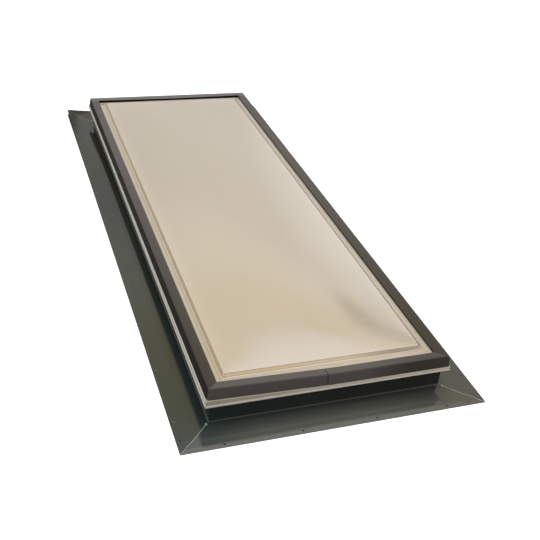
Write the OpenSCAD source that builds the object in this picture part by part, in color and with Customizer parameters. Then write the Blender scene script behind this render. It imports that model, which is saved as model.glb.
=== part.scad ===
// Fixed roof skylight, self-flashed, double glazed with two low acrylic domes.
// The origin is the centre of the flange's underside. +Z is up, the front is -Y.

/* [Roof opening] */
// Width of the opening in the roof deck
open_w = 571.5; // [400:0.5:1200]
// Length of the opening in the roof deck
open_l = 1790.7; // [700:0.1:2400]

/* [Flashing] */
// Thickness of the flashing sheet
sheet_t = 1.2; // [0.8:0.1:2]
// Height of the curb wall, from the deck to the underside of the frame's lip
curb_h = 60; // [45:0.1:150]
// Width of the nailing flange, outside the curb wall
flange_w = 95; // [70:1:150]
// Inside radius of the bend between wall and flange
bend_r = 3; // [1:0.5:4]
// Open seam between two flashing strips at a corner
seam_gap = 0.4; // [0.2:0.1:1]
// How far the wall's top edge goes up into the frame's slot
slot_grip = 5; // [3:0.5:8]

/* [Nail holes] */
// Diameter of a nail hole
nail_d = 4; // [3:0.5:6]
// Spacing along a row
nail_pitch = 203.2; // [100:0.1:300]
// Distance of the row from the flange's edge
nail_edge = 11; // [8:0.5:25]
// Distance of the extra hole from one end of each strip
nail_corner = 47.5; // [35:0.5:50]
// Shortest distance from a row's last hole to the strip's end
nail_margin = 60; // [55:1:120]

/* [Corner seams] */
// Width of the weld bead on a flange seam
bead_w = 5; // [3:0.5:8]
// Height of the bead above the flange
bead_h = 1.2; // [0.6:0.1:2]
// Diameter of the sealant dab at the foot of a corner
dab_d = 10; // [6:0.5:14]
// Height of the dab above the flange
dab_h = 3; // [1.5:0.5:4]

/* [Vinyl frame] */
// Thickness of a rail, from the opening to the curb wall
rail_w = 35; // [30:0.5:50]
// Wall thickness of the hollow rail
rail_t = 2.5; // [1.8:0.1:3]
// Height of the outer lip
lip_h = 11.7; // [9:0.1:16]
// How far the lip stands out beyond the cap's foot
lip_out = 2.6; // [2:0.1:12]
// Height of the glazing shelf above the lip
shelf_rise = 6.3; // [5:0.1:14]
// Width of the condensation gutter at the opening
gutter_w = 11.5; // [8:0.5:14]

/* [Glazing] */
// Thickness of the outer dome
outer_t = 3.2; // [2.4:0.1:6]
// Thickness of the inner dome
inner_t = 2.5; // [2:0.1:6]
// Thickness of the bedding tape under the inner dome
bed_t = 3.2; // [1.5:0.1:5]
// Thickness of the spacer tape between the domes
spacer_t = 6; // [4:0.1:12]
// Thickness of the gasket under the cap
gasket_t = 5; // [3:0.1:8]
// Flat flange of the outer dome that shows inside the cap, along the sides
side_flat = 22; // [18:0.5:40]
// The same at the front and back
end_flat = 27.5; // [18:0.5:50]
// Height of the outer dome's riser above its flange
riser_h = 11; // [6:0.5:20]
// Height of the outer dome's crown above its riser
crown_h = 30; // [10:1:80]
// Corner radius at the foot of the riser
riser_corner = 5; // [3:1:30]

/* [Cap] */
// Thickness of the cap sheet
cap_t = 1.6; // [1:0.1:2.5]
// Width of the cap's top leg
cap_top_w = 30; // [24:0.5:40]
// Fall of the top leg towards the glass
cap_fall = 4; // [0:0.1:5]
// How far the cap's outer leg leans out at its foot
cap_splay = 4.4; // [0:0.1:6]
// Outside radius of the bend between the cap's legs
cap_bend = 2.4; // [1:0.1:4]
// Radius of the cap's corners at the foot
cap_corner = 3.5; // [1:0.5:3.5]
// Open seam between the cap's two halves
cap_seam = 1.2; // [0.5:0.1:3]
// Width of the splice plate behind a seam
splice_w = 60; // [30:1:120]

/* [Hidden] */

// Sides are counted by quarter turns from +X. U is measured outwards from the opening's edge.
RIGHT = 0;
BACK = 1;
LEFT = 2;
FRONT = 3;
round_steps = 5;
overcut = 1;

// Flashing
slot_play = 0.6;
wall_in = rail_w;
wall_out = wall_in + sheet_t;
flange_out = wall_out + flange_w;
wall_top = curb_h + slot_grip;
slot_head = 0.5;

// Cap, outwards from the opening
cap_over_wall = 9.2;
cap_out = wall_out + cap_over_wall;
cap_leg_in = cap_out - cap_t;
cap_in = cap_out - cap_top_w;
cap_foot = cap_out + cap_splay;
cap_foot_in = cap_foot - cap_t;
cap_hem = 8;
hem_play = 0.6;

// Heights
lip_top = curb_h + lip_h;
shelf_z = lip_top + shelf_rise;
inner_z = shelf_z + bed_t;
spacer_z = inner_z + inner_t;
outer_z = spacer_z + spacer_t;
gasket_z = outer_z + outer_t;
cap_under = gasket_z + gasket_t;
cap_top = cap_under + cap_t + cap_fall;

// Rail section
slot_w = sheet_t + slot_play;
lip_u = cap_foot + lip_out;
lip_round = 1;
lip_band = 5.4;
step_z = curb_h + lip_band;
step_w = 1;
step_in = 0.6;
cap_play = 0.7;
rail_top_u = cap_leg_in - cap_play;
hem_groove_u = cap_foot_in - cap_hem - hem_play;
hem_groove_z = lip_top + cap_t + hem_play;
web_z = (curb_h - rail_t) / 2;
gutter_z = curb_h + rail_t;
gutter_drop = 4;
gutter_wall_z = shelf_z - gutter_drop;
shelf_u = rail_t + gutter_w;

// Tapes and glass edges, outwards from the opening
glass_u = rail_top_u - 2;
tape_edge = 1.3;
tape_out = glass_u - tape_edge;
tape_in = shelf_u + rail_t;
gasket_in = cap_in + 1;
splice_t = 1.2;
splice_edge = 0.9;

// Dome forming
clamp_flat = 15;
clamp_step = 1;
inner_clamp_step = 0.4;
clamp_run = 1.5;
riser_draft = 4;
foot_r = 1.5;
ridge_r = 2.5;
ridge_mid = ridge_r * (1 - cos(45));
inner_inset = 8;
inner_riser = 8;
inner_crown_less = 5;
glass_corner = 6;

function half_span(side) = (side % 2 == 0 ? open_w : open_l) / 2;
function half_len(side) = (side % 2 == 0 ? open_l : open_w) / 2;
function arc(u, z, r, from, to) =
    [for (i = [0:round_steps]) let (a = from + (to - from) * i / round_steps)
        [u + r * cos(a), z + r * sin(a)]];

// Children is a section in U and Z. It runs along one side and is mitred at both ends.
module mitred_bar(side, u_in, u_out, gap = 0) {
    cut = gap / sqrt(2);
    end_in = half_len(side) + u_in - cut;
    end_out = half_len(side) + u_out - cut;
    rotate([0, 0, 90 * side]) translate([half_span(side), 0, 0]) intersection() {
        rotate([90, 0, 0]) linear_extrude(height = 2 * (end_out + overcut), center = true) children();
        linear_extrude(height = 2 * cap_top + 2 * overcut, center = true)
            polygon([[u_in, -end_in], [u_out, -end_out], [u_out, end_out], [u_in, end_in]]);
    }
}

// A square-edged strip on one side. The long sides run through and the ends butt between them.
module butted_strip(side, u_in, u_out, z_low, z_high) {
    runs_through = side % 2 == 0;
    end = half_len(side) + (runs_through ? u_out : u_in);
    rotate([0, 0, 90 * side]) translate([half_span(side) + u_in, -end, z_low])
        cube([u_out - u_in, 2 * end, z_high - z_low]);
}

// Bent sheet: the curb wall, the bend and the nailing flange with its holes
module flashing_section() {
    polygon(concat(
        [[wall_in, wall_top]],
        arc(wall_out + bend_r, sheet_t + bend_r, bend_r + sheet_t, 180, 270),
        [[flange_out, 0], [flange_out, sheet_t]],
        arc(wall_out + bend_r, sheet_t + bend_r, bend_r, 270, 180),
        [[wall_out, wall_top]]));
}

module flashing(side) {
    strip_half = half_len(side) + flange_out;
    nails = floor(2 * (strip_half - nail_margin) / nail_pitch) + 1;
    row = [for (i = [0:nails - 1]) (i - (nails - 1) / 2) * nail_pitch];
    color([0.35, 0.36, 0.33]) difference() {
        mitred_bar(side, wall_in, flange_out, seam_gap) flashing_section();
        rotate([0, 0, 90 * side]) for (y = concat(row, [strip_half - nail_corner]))
            translate([half_span(side) + flange_out - nail_edge, y, -overcut])
                cylinder(d = nail_d, h = sheet_t + 2 * overcut, $fn = 32);
    }
}

// Places children at a corner of the curb wall, with +X along the flange's diagonal seam
module at_corner(sx, sy) {
    translate([sx * (open_w / 2 + wall_out), sy * (open_l / 2 + wall_out), sheet_t])
        rotate([0, 0, atan2(sy, sx)]) children();
}

dab_at = (bend_r + dab_d / 2) * sqrt(2);
dab_sphere = (pow(dab_d / 2, 2) + pow(dab_h, 2)) / (2 * dab_h);
bead_sphere = (pow(bead_w / 2, 2) + pow(bead_h, 2)) / (2 * bead_h);
bead_gap = 0.2;
bead_from = dab_at + dab_d / 2 + bead_gap;
bead_to = flange_w * sqrt(2) - bead_w;

module above_flange(reach) {
    intersection() {
        children();
        translate([-reach, -reach, 0]) cube([2 * reach, 2 * reach, reach]);
    }
}

module weld_bead(sx, sy) {
    color([0.72, 0.74, 0.72]) at_corner(sx, sy) above_flange(bead_to + bead_w)
        translate([bead_from, 0, bead_h - bead_sphere]) rotate([0, 90, 0])
            cylinder(r = bead_sphere, h = bead_to - bead_from, $fn = 48);
}

module sealant_dab(sx, sy) {
    color([0.8, 0.8, 0.78]) at_corner(sx, sy) above_flange(dab_at + dab_d)
        translate([dab_at, 0, dab_h - dab_sphere]) sphere(r = dab_sphere, $fn = 48);
}

// Hollow vinyl rail: chambers, gutter, glazing shelf, hem groove, lip and the wall's slot
module rail_outline() {
    polygon(concat(
        [[0, 0], [rail_w, 0], [rail_w, wall_top + slot_head], [rail_w + slot_w, wall_top + slot_head],
            [rail_w + slot_w, curb_h]],
        arc(lip_u - lip_round, curb_h + lip_round, lip_round, 270, 360),
        [[lip_u, step_z], [lip_u - step_in - step_w, step_z + step_w / 2],
            [lip_u - step_in, step_z + step_w]],
        arc(lip_u - step_in - lip_round, lip_top - lip_round, lip_round, 0, 90),
        [[hem_groove_u, lip_top], [hem_groove_u, hem_groove_z], [rail_top_u, hem_groove_z],
            [rail_top_u, shelf_z], [shelf_u, shelf_z], [shelf_u, gutter_z], [rail_t, gutter_z],
            [rail_t, gutter_wall_z], [0, gutter_wall_z]]));
}

module chamber(u_in, u_out, z_low, z_high) {
    translate([u_in, z_low]) square([u_out - u_in, z_high - z_low]);
}

module frame_rail(side) {
    color([0.8, 0.75, 0.66]) mitred_bar(side, 0, lip_u) difference() {
        rail_outline();
        chamber(rail_t, rail_w - rail_t, rail_t, web_z);
        chamber(rail_t, rail_w - rail_t, web_z + rail_t, curb_h);
        chamber(tape_in, hem_groove_u - rail_t, curb_h + rail_t, shelf_z - rail_t);
        chamber(rail_w + slot_w + rail_t, lip_u - step_in - step_w - rail_t,
            curb_h + rail_t, lip_top - rail_t);
    }
}

module bedding_tape(side) {
    color([0.2, 0.2, 0.2]) butted_strip(side, tape_in, tape_out, shelf_z, inner_z);
}

module spacer_tape(side) {
    color([0.2, 0.2, 0.2]) butted_strip(side, tape_in, tape_out, spacer_z, outer_z);
}

module cap_gasket(side) {
    color([0.06, 0.06, 0.06]) butted_strip(side, gasket_in, tape_out, gasket_z, cap_under);
}

// Dome sheets. A ring is a rounded rectangle; its points stand in the same order on every ring.
corner_pts = 5;
end_pts = 6;
side_pts = 10;
ring_size = 4 * corner_pts + 2 * end_pts + 2 * side_pts;
pillow = [0.97, 0.92, 0.84, 0.74, 0.62, 0.48, 0.32, 0.16];

function between(a, b, count) = [for (i = [1:count]) a + (b - a) * i / (count + 1)];
function corner_arc(cx, cy, r, from) =
    [for (i = [0:corner_pts - 1]) let (a = from + 90 * i / (corner_pts - 1))
        [cx + r * cos(a), cy + r * sin(a)]];
function ring(hx, hy, r) = concat(
    corner_arc(hx - r, hy - r, r, 0), between([hx - r, hy], [r - hx, hy], end_pts),
    corner_arc(r - hx, hy - r, r, 90), between([-hx, hy - r], [-hx, r - hy], side_pts),
    corner_arc(r - hx, r - hy, r, 180), between([r - hx, -hy], [hx - r, -hy], end_pts),
    corner_arc(hx - r, r - hy, r, 270), between([hx, r - hy], [hx, hy - r], side_pts));

function ch(x) = (exp(x) + exp(-x)) / 2;
// Height share of a blown sheet: a parabola across the width that dies away at both ends
function blown(x, y, hx, hy) = let (k = PI / 2)
    (1 - pow(x / hx, 2)) * (1 - ch(k * y / hx) / ch(k * hy / hx));

// Edge profile rows are [side inset, end inset, z, corner radius], from the sheet's edge inwards
function edge_rows(z, side_foot, end_foot, step_at, step_h, h) = [
    [0, 0, z, glass_corner],
    [step_at, step_at, z, glass_corner],
    [step_at + clamp_run, step_at + clamp_run, z + step_h, glass_corner],
    [side_foot - foot_r, end_foot - foot_r, z + step_h, riser_corner + foot_r],
    [side_foot, end_foot, z + step_h + foot_r, riser_corner],
    [side_foot + riser_draft, end_foot + riser_draft, z + h - ridge_r, riser_corner],
    [side_foot + riser_draft + ridge_mid, end_foot + riser_draft + ridge_mid, z + h - ridge_mid,
        riser_corner],
    [side_foot + riser_draft + ridge_r, end_foot + riser_draft + ridge_r, z + h, riser_corner]];

function drop_rows(rows, t) = [for (i = [0:len(rows) - 1]) let (
        a = rows[max(i - 1, 0)], b = rows[min(i + 1, len(rows) - 1)],
        run = b[0] - a[0], rise = b[2] - a[2], l = norm([run, rise]),
        in = t * rise / l, down = t * run / l)
    [rows[i][0] + in, rows[i][1] + in, rows[i][2] - down, rows[i][3]]];

function sheet_face(rows, hx, hy, crown) = let (
        last = rows[len(rows) - 1], px = hx - last[0], py = hy - last[1])
    concat(
        [for (row = rows, p = ring(hx - row[0], hy - row[1], row[3])) [p.x, p.y, row[2]]],
        [for (s = pillow, p = ring(s * px, s * py, s * last[3]))
            [p.x, p.y, last[2] + crown * blown(p.x, p.y, px, py)]],
        [[0, 0, last[2] + crown * blown(0, 0, px, py)]]);

module dome_sheet(rows, t, crown) {
    hx = open_w / 2 + glass_u;
    hy = open_l / 2 + glass_u;
    top = sheet_face(rows, hx, hy, crown);
    bottom = sheet_face(drop_rows(rows, t), hx, hy, crown);
    rings = len(rows) + len(pillow);
    m = len(top);
    polyhedron(points = concat(top, bottom), convexity = 6, faces = concat(
        [for (r = [0:rings - 2], i = [0:ring_size - 1]) let (j = (i + 1) % ring_size)
            each [[r * ring_size + i, (r + 1) * ring_size + j, r * ring_size + j],
                [r * ring_size + i, (r + 1) * ring_size + i, (r + 1) * ring_size + j]]],
        [for (i = [0:ring_size - 1]) let (j = (i + 1) % ring_size, r = rings - 1)
            [r * ring_size + i, m - 1, r * ring_size + j]],
        [for (r = [0:rings - 2], i = [0:ring_size - 1]) let (j = (i + 1) % ring_size)
            each [[m + r * ring_size + i, m + r * ring_size + j, m + (r + 1) * ring_size + j],
                [m + r * ring_size + i, m + (r + 1) * ring_size + j, m + (r + 1) * ring_size + i]]],
        [for (i = [0:ring_size - 1]) let (j = (i + 1) % ring_size, r = rings - 1)
            [m + r * ring_size + i, m + r * ring_size + j, 2 * m - 1]],
        [for (i = [0:ring_size - 1]) let (j = (i + 1) % ring_size)
            each [[i, j, m + j], [i, m + j, m + i]]]));
}

flat_from = glass_u - cap_in;

module outer_dome() {
    color([0.78, 0.71, 0.6, 0.9])
        dome_sheet(edge_rows(gasket_z, flat_from + side_flat, flat_from + end_flat,
            flat_from + clamp_flat, clamp_step, riser_h), outer_t, crown_h);
}

module inner_dome() {
    color([0.93, 0.93, 0.91])
        dome_sheet(edge_rows(spacer_z, flat_from + side_flat + inner_inset,
            flat_from + end_flat + inner_inset, flat_from + clamp_flat, inner_clamp_step, inner_riser),
            inner_t, crown_h - inner_crown_less);
}

// Cap: a folded angle with a hem at the foot of its outer leg
module cap_leg_section() {
    polygon(concat(
        [[cap_foot_in - cap_hem, lip_top], [cap_foot, lip_top]],
        arc(cap_out - cap_bend, cap_top - cap_bend, cap_bend, 0, 90),
        [[cap_out - cap_bend, cap_top - cap_t], [cap_leg_in, cap_top - cap_t],
            [cap_foot_in, lip_top + cap_t], [cap_foot_in - cap_hem, lip_top + cap_t]]));
}

module cap_top_section() {
    polygon([[cap_in, cap_under], [cap_out - cap_bend, cap_top - cap_t],
        [cap_out - cap_bend, cap_top], [cap_in, cap_under + cap_t]]);
}

module cap_ring() {
    hx = open_w / 2 + cap_foot;
    hy = open_l / 2 + cap_foot;
    intersection() {
        union() for (side = [RIGHT, BACK, LEFT, FRONT]) {
            mitred_bar(side, cap_in, cap_foot) cap_leg_section();
            mitred_bar(side, cap_in, cap_out, seam_gap) cap_top_section();
        }
        linear_extrude(height = 2 * cap_top) {
            square([2 * hx, 2 * (hy - cap_corner)], center = true);
            square([2 * (hx - cap_corner), 2 * hy], center = true);
            for (sx = [-1, 1], sy = [-1, 1])
                translate([sx * (hx - cap_corner), sy * (hy - cap_corner)])
                    circle(r = cap_corner, $fn = 48);
        }
    }
}

module cap_half(sx) {
    reach = open_l + open_w + 4 * flange_out;
    color([0.37, 0.34, 0.34]) intersection() {
        cap_ring();
        translate([sx > 0 ? cap_seam / 2 : -reach - cap_seam / 2, -reach / 2, 0])
            cube([reach, reach, 2 * cap_top]);
    }
}

// Inner face of the leaning leg at one height
function leg_in(z) = cap_leg_in + cap_splay * (cap_top - cap_t - z) / (cap_top - lip_top - 2 * cap_t);

module cap_splice(side) {
    low = shelf_z + splice_edge;
    high = cap_under - splice_edge;
    color([0.3, 0.3, 0.3]) rotate([0, 0, 90 * side]) translate([half_span(side), 0, 0])
        rotate([90, 0, 0]) linear_extrude(height = splice_w, center = true)
            polygon([[leg_in(low) - splice_t, low], [leg_in(low), low], [leg_in(high), high],
                [leg_in(high) - splice_t, high]]);
}

flashing(FRONT);  // flashing_front
flashing(BACK);  // flashing_back
flashing(LEFT);  // flashing_left
flashing(RIGHT);  // flashing_right
weld_bead(-1, -1);  // weld_bead_front_left
weld_bead(1, -1);  // weld_bead_front_right
weld_bead(-1, 1);  // weld_bead_back_left
weld_bead(1, 1);  // weld_bead_back_right
sealant_dab(-1, -1);  // sealant_dab_front_left
sealant_dab(1, -1);  // sealant_dab_front_right
sealant_dab(-1, 1);  // sealant_dab_back_left
sealant_dab(1, 1);  // sealant_dab_back_right
frame_rail(FRONT);  // frame_rail_front
frame_rail(BACK);  // frame_rail_back
frame_rail(LEFT);  // frame_rail_left
frame_rail(RIGHT);  // frame_rail_right
bedding_tape(FRONT);  // bedding_tape_front
bedding_tape(BACK);  // bedding_tape_back
bedding_tape(LEFT);  // bedding_tape_left
bedding_tape(RIGHT);  // bedding_tape_right
inner_dome();
spacer_tape(FRONT);  // spacer_tape_front
spacer_tape(BACK);  // spacer_tape_back
spacer_tape(LEFT);  // spacer_tape_left
spacer_tape(RIGHT);  // spacer_tape_right
outer_dome();
cap_gasket(FRONT);  // cap_gasket_front
cap_gasket(BACK);  // cap_gasket_back
cap_gasket(LEFT);  // cap_gasket_left
cap_gasket(RIGHT);  // cap_gasket_right
cap_splice(FRONT);  // cap_splice_front
cap_splice(BACK);  // cap_splice_back
cap_half(-1);  // cap_left
cap_half(1);  // cap_right
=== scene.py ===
import math

import bmesh
import bpy
from mathutils import Matrix, Vector, noise


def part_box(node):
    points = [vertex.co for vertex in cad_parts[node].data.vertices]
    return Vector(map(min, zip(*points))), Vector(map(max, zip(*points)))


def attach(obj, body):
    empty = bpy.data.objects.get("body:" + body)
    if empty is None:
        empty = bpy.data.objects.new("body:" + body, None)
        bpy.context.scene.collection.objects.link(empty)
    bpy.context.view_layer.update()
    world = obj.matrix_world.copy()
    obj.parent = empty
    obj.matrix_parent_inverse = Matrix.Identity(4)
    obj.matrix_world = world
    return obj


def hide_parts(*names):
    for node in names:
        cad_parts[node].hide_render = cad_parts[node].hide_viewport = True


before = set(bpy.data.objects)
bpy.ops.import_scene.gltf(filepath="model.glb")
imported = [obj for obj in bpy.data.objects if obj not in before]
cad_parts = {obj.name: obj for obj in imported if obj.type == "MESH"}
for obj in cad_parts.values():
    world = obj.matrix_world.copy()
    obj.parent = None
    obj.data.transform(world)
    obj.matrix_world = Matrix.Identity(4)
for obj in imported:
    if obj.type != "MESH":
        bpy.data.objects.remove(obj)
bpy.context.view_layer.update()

# The camera stands in front of the left end, looks down the length of the roof skylight
# and leans a little to one side.
mm = 0.001
look_at = Vector((51.57, -299.15, 0)) * mm
azimuth, elevation, lean = math.radians(-21.759), math.radians(32.6), math.radians(5.976)
distance, lens_reach = 2709 * mm, 845 / 540
back = Vector((math.sin(azimuth) * math.cos(elevation), -math.cos(azimuth) * math.cos(elevation),
               math.sin(elevation)))
level = back.cross(Vector((0, 0, 1))).normalized() * -1
upright = back.cross(level)
right = math.cos(lean) * level + math.sin(lean) * upright
upward = math.cos(lean) * upright - math.sin(lean) * level
camera = bpy.data.objects.new("camera", bpy.data.cameras.new("camera"))
turn = Matrix((right, upward, back)).transposed().to_4x4()
camera.matrix_world = Matrix.Translation(look_at + back * distance) @ turn
camera.data.sensor_width = 36
camera.data.lens = lens_reach * 36
camera.data.clip_start, camera.data.clip_end = 0.05, 60
bpy.context.scene.collection.objects.link(camera)
bpy.context.scene.camera = camera

# The studio is a round pale floor that sweeps up into a wall, under a soft sky that is brightest
# behind the roof skylight and overhead, with one wide lamp.
view = bpy.context.scene.view_settings
view.view_transform, view.look, view.exposure, view.gamma = "Standard", "None", 0, 1


def add(tree, kind, inputs=None, **settings):
    made = tree.nodes.new(kind)
    for name, value in settings.items():
        setattr(made, name, value)
    for name, value in (inputs or {}).items():
        if isinstance(value, bpy.types.NodeSocket):
            tree.links.new(value, made.inputs[name])
        else:
            made.inputs[name].default_value = value
    return made


def rgb(*parts):
    return (*parts, 1) if len(parts) == 3 else (parts[0], parts[0], parts[0], 1)


def finish_of(name, roughness=0.5, **sockets):
    """A new material with its Principled shader and its Object coordinates."""
    made = bpy.data.materials.new(name)
    made.use_nodes = True
    tree = made.node_tree
    shader = tree.nodes["Principled BSDF"]
    shader.inputs["Roughness"].default_value = roughness
    for socket, value in sockets.items():
        shader.inputs[socket.replace("_", " ")].default_value = value
    place = add(tree, "ShaderNodeTexCoord").outputs["Object"]
    return made, tree, shader, place


def grain(tree, place, scale, detail=3, stretch=(1, 1, 1), rough=0.5):
    """Soft noise over the piece, stretched along an axis where a stretch is given."""
    eased = add(tree, "ShaderNodeMapping", {"Vector": place, "Scale": stretch}).outputs[0]
    return add(tree, "ShaderNodeTexNoise", {"Vector": eased, "Scale": scale, "Detail": detail,
                                            "Roughness": rough}).outputs["Fac"]


def between(tree, value, low, high, to_low=0.0, to_high=1.0):
    """A share that runs evenly between two values and stays level outside them."""
    return add(tree, "ShaderNodeMapRange", {"Value": value, "From Min": low, "From Max": high,
                                            "To Min": to_low, "To Max": to_high}).outputs[0]


def reckon(tree, operation, first, second=0.0):
    return add(tree, "ShaderNodeMath", {0: first, 1: second}, operation=operation).outputs[0]


def both(tree, *shares):
    """The product of several shares, which is full only where all of them are."""
    joined = shares[0]
    for share in shares[1:]:
        joined = reckon(tree, "MULTIPLY", joined, share)
    return joined


def axes(tree, way):
    return add(tree, "ShaderNodeSeparateXYZ", {"Vector": way}).outputs


def mirrored(tree, place):
    """The place folded onto one quarter of the piece, since its four corners are alike."""
    return add(tree, "ShaderNodeVectorMath", {0: place}, operation="ABSOLUTE").outputs[0]


def ramp_of(tree, value, stops):
    """A colour ramp with stops of (place, colour), in order."""
    made = add(tree, "ShaderNodeValToRGB", {"Fac": value})
    elements = made.color_ramp.elements
    for k, (at, colour) in enumerate(stops):
        stop = elements[0] if k == 0 else elements[-1] if k == len(stops) - 1 else elements.new(at)
        stop.position = at
        stop.color = colour
    return made.outputs[0]


def blend_of(tree, share, first, second):
    made = add(tree, "ShaderNodeMix", data_type="RGBA", clamp_factor=True)
    for index, value in ((0, share), (6, first), (7, second)):
        if isinstance(value, bpy.types.NodeSocket):
            tree.links.new(value, made.inputs[index])
        else:
            made.inputs[index].default_value = value
    return made.outputs[2]


def dress(tree, shader, colour=None, roughness=None, height=None, depth=0.1, lean_of=None):
    """Joins a colour, a roughness and a bump height to the shader, over a lean of the surface if given."""
    if colour is not None:
        tree.links.new(colour, shader.inputs["Base Color"])
    if roughness is not None:
        tree.links.new(roughness, shader.inputs["Roughness"])
    if height is not None:
        bump = add(tree, "ShaderNodeBump", {"Height": height, "Strength": 1.0, "Distance": depth * mm})
        if lean_of is not None:
            tree.links.new(lean_of, bump.inputs["Normal"])
        tree.links.new(bump.outputs[0], shader.inputs["Normal"])


def piece(name, vertices, faces, materials, smooth=None):
    """A mesh object at the origin. Smooth is the angle past which an edge stays sharp."""
    mesh = bpy.data.meshes.new(name)
    mesh.from_pydata(vertices, [], faces)
    made = bpy.data.objects.new(name, mesh)
    bpy.context.scene.collection.objects.link(made)
    for material in materials:
        mesh.materials.append(material)
    shape = bmesh.new()
    shape.from_mesh(mesh)
    bmesh.ops.remove_doubles(shape, verts=shape.verts, dist=0.002 * mm)
    bmesh.ops.recalc_face_normals(shape, faces=shape.faces)
    shape.to_mesh(mesh)
    shape.free()
    if smooth is not None:
        mesh.shade_smooth()
        mesh.set_sharp_from_angle(angle=math.radians(smooth))
    return made


floor_reach, floor_bend, wall_high, spokes = 6.5, 1.5, 6.0, 72
sweep = [(0.0, 0.0), (3.0, 0.0), (floor_reach, 0.0)]
sweep += [(floor_reach + floor_bend * math.sin(a), floor_bend - floor_bend * math.cos(a))
          for a in (math.radians(k * 10) for k in range(1, 10))] + [(floor_reach + floor_bend, wall_high)]
floor_points = [(r * math.cos(a), r * math.sin(a), z) for r, z in sweep[1:]
                for a in (2 * math.pi * k / spokes for k in range(spokes))] + [(0, 0, 0)]
floor_faces = [(len(floor_points) - 1, k, (k + 1) % spokes) for k in range(spokes)]
floor_faces += [(i * spokes + k, i * spokes + (k + 1) % spokes, (i + 1) * spokes + (k + 1) % spokes,
                 (i + 1) * spokes + k) for i in range(len(sweep) - 2) for k in range(spokes)]
pale, tree, shader, place = finish_of("pale_floor", 0.7, Specular_IOR_Level=0.2)
pale_tone = blend_of(tree, grain(tree, place, 1.5, 4), rgb(0.86, 0.86, 0.86), rgb(0.9, 0.9, 0.9))
# The floor glows a little, so that it stays pale right up to the flange, and painted shade makes it dark under
# the part.
under_x, under_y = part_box("flashing_right")[1].x - 0.15 * mm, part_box("flashing_back")[1].y - 0.15 * mm
spread = axes(tree, mirrored(tree, place))
clear = reckon(tree, "MAXIMUM", between(tree, spread["X"], under_x, under_x + 0.6 * mm),
               between(tree, spread["Y"], under_y, under_y + 0.6 * mm))
shader.inputs["Emission Color"].default_value = rgb(1.0)
tree.links.new(between(tree, clear, 0, 1, 0, 0.5), shader.inputs["Emission Strength"])
dress(tree, shader, blend_of(tree, clear, rgb(0.01), pale_tone))
floor = piece("studio_floor", floor_points, floor_faces, [pale], 60)
floor.visible_diffuse = floor.visible_glossy = floor.visible_shadow = False

sky = bpy.data.worlds.new("studio_sky")
sky.use_nodes = True
bpy.context.scene.world = sky
tree = sky.node_tree
toward = add(tree, "ShaderNodeTexCoord").outputs["Generated"]
sky_way = axes(tree, toward)
BANDS = ((0.0, rgb(0.1)), (0.42, rgb(0.15)), (0.5, rgb(0.4)), (0.57, rgb(0.6)), (0.65, rgb(0.6)),
         (0.752, rgb(0.5, 0.49, 0.46)), (0.768, rgb(0.65, 0.62, 0.54)), (0.79, rgb(0.75, 0.69, 0.55)),
         (0.815, rgb(0.66, 0.53, 0.28)), (0.855, rgb(0.66, 0.53, 0.28)), (0.868, rgb(0.85, 0.8, 0.74)),
         (0.89, rgb(1.05, 1.03, 1.0)), (0.93, rgb(1.15)), (1.0, rgb(0.9)))
upper_sky = ramp_of(tree, between(tree, sky_way["Z"], -1, 1), BANDS)
sides = blend_of(tree, between(tree, sky_way["X"], -0.75, -0.3, 1, 0), rgb(0.3), rgb(0.85))
behind = reckon(tree, "MAXIMUM", between(tree, sky_way["Y"], 0.05, 0.35),
                between(tree, sky_way["Z"], 0.6, 0.8))
behind = both(tree, behind, between(tree, sky_way["X"], -0.8, -0.45))
sky_colour = blend_of(tree, behind, sides, upper_sky)
sky_colour = blend_of(tree, between(tree, sky_way["Z"], -0.1, 0.1, 1, 0), sky_colour, rgb(0.14))
right_wall = both(tree, between(tree, sky_way["X"], 0.38, 0.52),
                  between(tree, sky_way["Z"], 0.35, 0.55, 0.35, 0))
sky_colour = blend_of(tree, right_wall, sky_colour, rgb(1.7, 1.65, 1.7))

# A dark beam in the studio's ceiling shows as a streak in the dome.
beam_middle, beam_side = (0.4858, 0.6396, 0.5957), (0.8859, -0.3326, -0.3233)
along_beam = add(tree, "ShaderNodeVectorMath", {0: toward, 1: beam_middle}, operation="DOT_PRODUCT")
off_beam = add(tree, "ShaderNodeVectorMath", {0: toward, 1: beam_side}, operation="DOT_PRODUCT")
off_beam = reckon(tree, "ABSOLUTE", reckon(tree, "SUBTRACT", off_beam.outputs["Value"], 0.026))
beam = both(tree, between(tree, along_beam.outputs["Value"], 0.994, 0.9982),
            between(tree, off_beam, 0.016, 0.052, 1, 0))
sky_colour = blend_of(tree, beam, sky_colour, rgb(0.0, 0.03, 0.0))
background = tree.nodes["Background"]
tree.links.new(sky_colour, background.inputs["Color"])

lamp = bpy.data.lights.new("overhead_lamp", "AREA")
lamp.shape, lamp.size, lamp.size_y, lamp.energy = "RECTANGLE", 0.5, 3.0, 40
lamp_place, lamp_tilt = (0.35, -0.4, 3.0), math.radians(7)
lamp_object = bpy.data.objects.new("overhead_lamp", lamp)
lamp_object.matrix_world = Matrix.Translation(lamp_place) @ Matrix.Rotation(lamp_tilt, 4, "Y")
bpy.context.scene.collection.objects.link(lamp_object)
lamp_object.visible_glossy = False

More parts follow.
